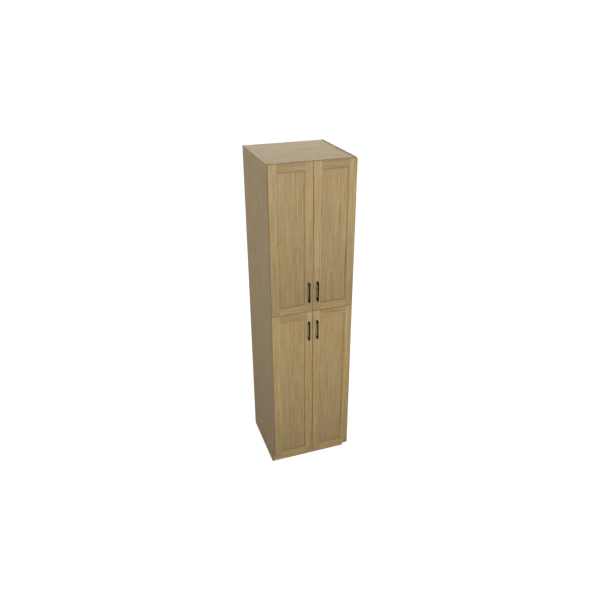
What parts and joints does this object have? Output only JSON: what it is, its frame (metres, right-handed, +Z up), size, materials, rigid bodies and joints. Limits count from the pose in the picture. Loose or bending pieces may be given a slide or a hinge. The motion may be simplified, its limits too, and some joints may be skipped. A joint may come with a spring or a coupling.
{
  "type": "broom cupboard",
  "caption": "Tall frameless broom cupboard with paired frame-and-panel doors above and below a fixed shelf, bar pulls and a recessed toe kick.",
  "frame": {"origin": "on the floor, in the middle of the bounding box", "axes": "+Z up, +X to the right seen from the front, +Y towards the back; the doors face -Y"},
  "size_m": [0.6096, 0.6562, 2.4384],
  "materials": {
    "oak_face": "natural oak veneer, matt lacquer",
    "oak_solid": "solid oak, matt lacquer",
    "oak_board": "oak-veneered board, matt lacquer",
    "edge_band": "oak edge band",
    "back_board": "thin oak-veneered plywood",
    "pull_black": "matt black powder coat",
    "hinge_steel": "nickel-plated steel",
    "pin_steel": "zinc-plated steel"
  },
  "bodies": {
    "case": {"left_side_panel": "oak_face", "right_side_panel": "oak_face", "top_board": "oak_board", "bottom_board": "oak_board", "fixed_shelf": "oak_board", "back_panel": "back_board", "upper_mounting_rail": "oak_board", "lower_mounting_rail": "oak_board", "toe_board": "oak_face", "edge_bands": "edge_band", "shelf_pins": "pin_steel", "hinge_arms": "hinge_steel", "hinge_plates": "hinge_steel", "adjustable_shelf_1": "oak_board", "adjustable_shelf_2": "oak_board"},
    "upper_left_door": {"upper_left_hinge_stile": "oak_solid", "upper_left_pull_stile": "oak_solid", "upper_left_bottom_rail": "oak_solid", "upper_left_top_rail": "oak_solid", "upper_left_panel": "oak_face", "upper_left_pull": "pull_black", "upper_left_hinge_cups": "hinge_steel"},
    "upper_left_outer_links": {"upper_left_outer_links": "hinge_steel"},
    "upper_left_inner_links": {"upper_left_inner_links": "hinge_steel"},
    "upper_right_door": {"upper_right_hinge_stile": "oak_solid", "upper_right_pull_stile": "oak_solid", "upper_right_bottom_rail": "oak_solid", "upper_right_top_rail": "oak_solid", "upper_right_panel": "oak_face", "upper_right_pull": "pull_black", "upper_right_hinge_cups": "hinge_steel"},
    "upper_right_outer_links": {"upper_right_outer_links": "hinge_steel"},
    "upper_right_inner_links": {"upper_right_inner_links": "hinge_steel"},
    "lower_left_door": {"lower_left_hinge_stile": "oak_solid", "lower_left_pull_stile": "oak_solid", "lower_left_bottom_rail": "oak_solid", "lower_left_top_rail": "oak_solid", "lower_left_panel": "oak_face", "lower_left_pull": "pull_black", "lower_left_hinge_cups": "hinge_steel"},
    "lower_left_outer_links": {"lower_left_outer_links": "hinge_steel"},
    "lower_left_inner_links": {"lower_left_inner_links": "hinge_steel"},
    "lower_right_door": {"lower_right_hinge_stile": "oak_solid", "lower_right_pull_stile": "oak_solid", "lower_right_bottom_rail": "oak_solid", "lower_right_top_rail": "oak_solid", "lower_right_panel": "oak_face", "lower_right_pull": "pull_black", "lower_right_hinge_cups": "hinge_steel"},
    "lower_right_outer_links": {"lower_right_outer_links": "hinge_steel"},
    "lower_right_inner_links": {"lower_right_inner_links": "hinge_steel"}
  },
  "joints": [
    {"name": "upper_left_door_swing", "type": "hinge", "parent": "upper_left_outer_links", "child": "upper_left_door", "pos_m": [-0.29312, -0.28692, 1.9042], "axis": [0, 0, -1], "range_deg": [0, 133.86]},
    {"name": "upper_left_outer_link_swing", "type": "hinge", "parent": "case", "child": "upper_left_outer_links", "pos_m": [-0.2753, -0.26172, 1.9042], "axis": [0, 0, -1], "range_deg": [-43.87, 0]},
    {"name": "upper_left_inner_link_swing", "type": "hinge", "parent": "upper_left_door", "child": "upper_left_inner_links", "pos_m": [-0.28803, -0.29092, 1.9042], "axis": [0, 0, -1], "range_deg": [-116.66, 0]},
    {"name": "upper_right_door_swing", "type": "hinge", "parent": "upper_right_outer_links", "child": "upper_right_door", "pos_m": [0.29312, -0.28692, 1.9042], "axis": [0, 0, 1], "range_deg": [0, 133.86]},
    {"name": "upper_right_outer_link_swing", "type": "hinge", "parent": "case", "child": "upper_right_outer_links", "pos_m": [0.2753, -0.26172, 1.9042], "axis": [0, 0, 1], "range_deg": [-43.87, 0]},
    {"name": "upper_right_inner_link_swing", "type": "hinge", "parent": "upper_right_door", "child": "upper_right_inner_links", "pos_m": [0.28803, -0.29092, 1.9042], "axis": [0, 0, 1], "range_deg": [-116.66, 0]},
    {"name": "lower_left_door_swing", "type": "hinge", "parent": "lower_left_outer_links", "child": "lower_left_door", "pos_m": [-0.29312, -0.28692, 0.74075], "axis": [0, 0, -1], "range_deg": [0, 133.86]},
    {"name": "lower_left_outer_link_swing", "type": "hinge", "parent": "case", "child": "lower_left_outer_links", "pos_m": [-0.2753, -0.26172, 0.74075], "axis": [0, 0, -1], "range_deg": [-43.87, 0]},
    {"name": "lower_left_inner_link_swing", "type": "hinge", "parent": "lower_left_door", "child": "lower_left_inner_links", "pos_m": [-0.28803, -0.29092, 0.74075], "axis": [0, 0, -1], "range_deg": [-116.66, 0]},
    {"name": "lower_right_door_swing", "type": "hinge", "parent": "lower_right_outer_links", "child": "lower_right_door", "pos_m": [0.29312, -0.28692, 0.74075], "axis": [0, 0, 1], "range_deg": [0, 133.86]},
    {"name": "lower_right_outer_link_swing", "type": "hinge", "parent": "case", "child": "lower_right_outer_links", "pos_m": [0.2753, -0.26172, 0.74075], "axis": [0, 0, 1], "range_deg": [-43.87, 0]},
    {"name": "lower_right_inner_link_swing", "type": "hinge", "parent": "lower_right_door", "child": "lower_right_inner_links", "pos_m": [0.28803, -0.29092, 0.74075], "axis": [0, 0, 1], "range_deg": [-116.66, 0]}
  ],
  "couplings": [
    {"joint": "upper_left_outer_link_swing", "follows": "upper_left_door_swing", "ratio": -0.32767},
    {"joint": "upper_left_inner_link_swing", "follows": "upper_left_door_swing", "ratio": -0.87138},
    {"joint": "upper_right_outer_link_swing", "follows": "upper_right_door_swing", "ratio": -0.32767},
    {"joint": "upper_right_inner_link_swing", "follows": "upper_right_door_swing", "ratio": -0.87138},
    {"joint": "lower_left_outer_link_swing", "follows": "lower_left_door_swing", "ratio": -0.32767},
    {"joint": "lower_left_inner_link_swing", "follows": "lower_left_door_swing", "ratio": -0.87138},
    {"joint": "lower_right_outer_link_swing", "follows": "lower_right_door_swing", "ratio": -0.32767},
    {"joint": "lower_right_inner_link_swing", "follows": "lower_right_door_swing", "ratio": -0.87138}
  ]
}
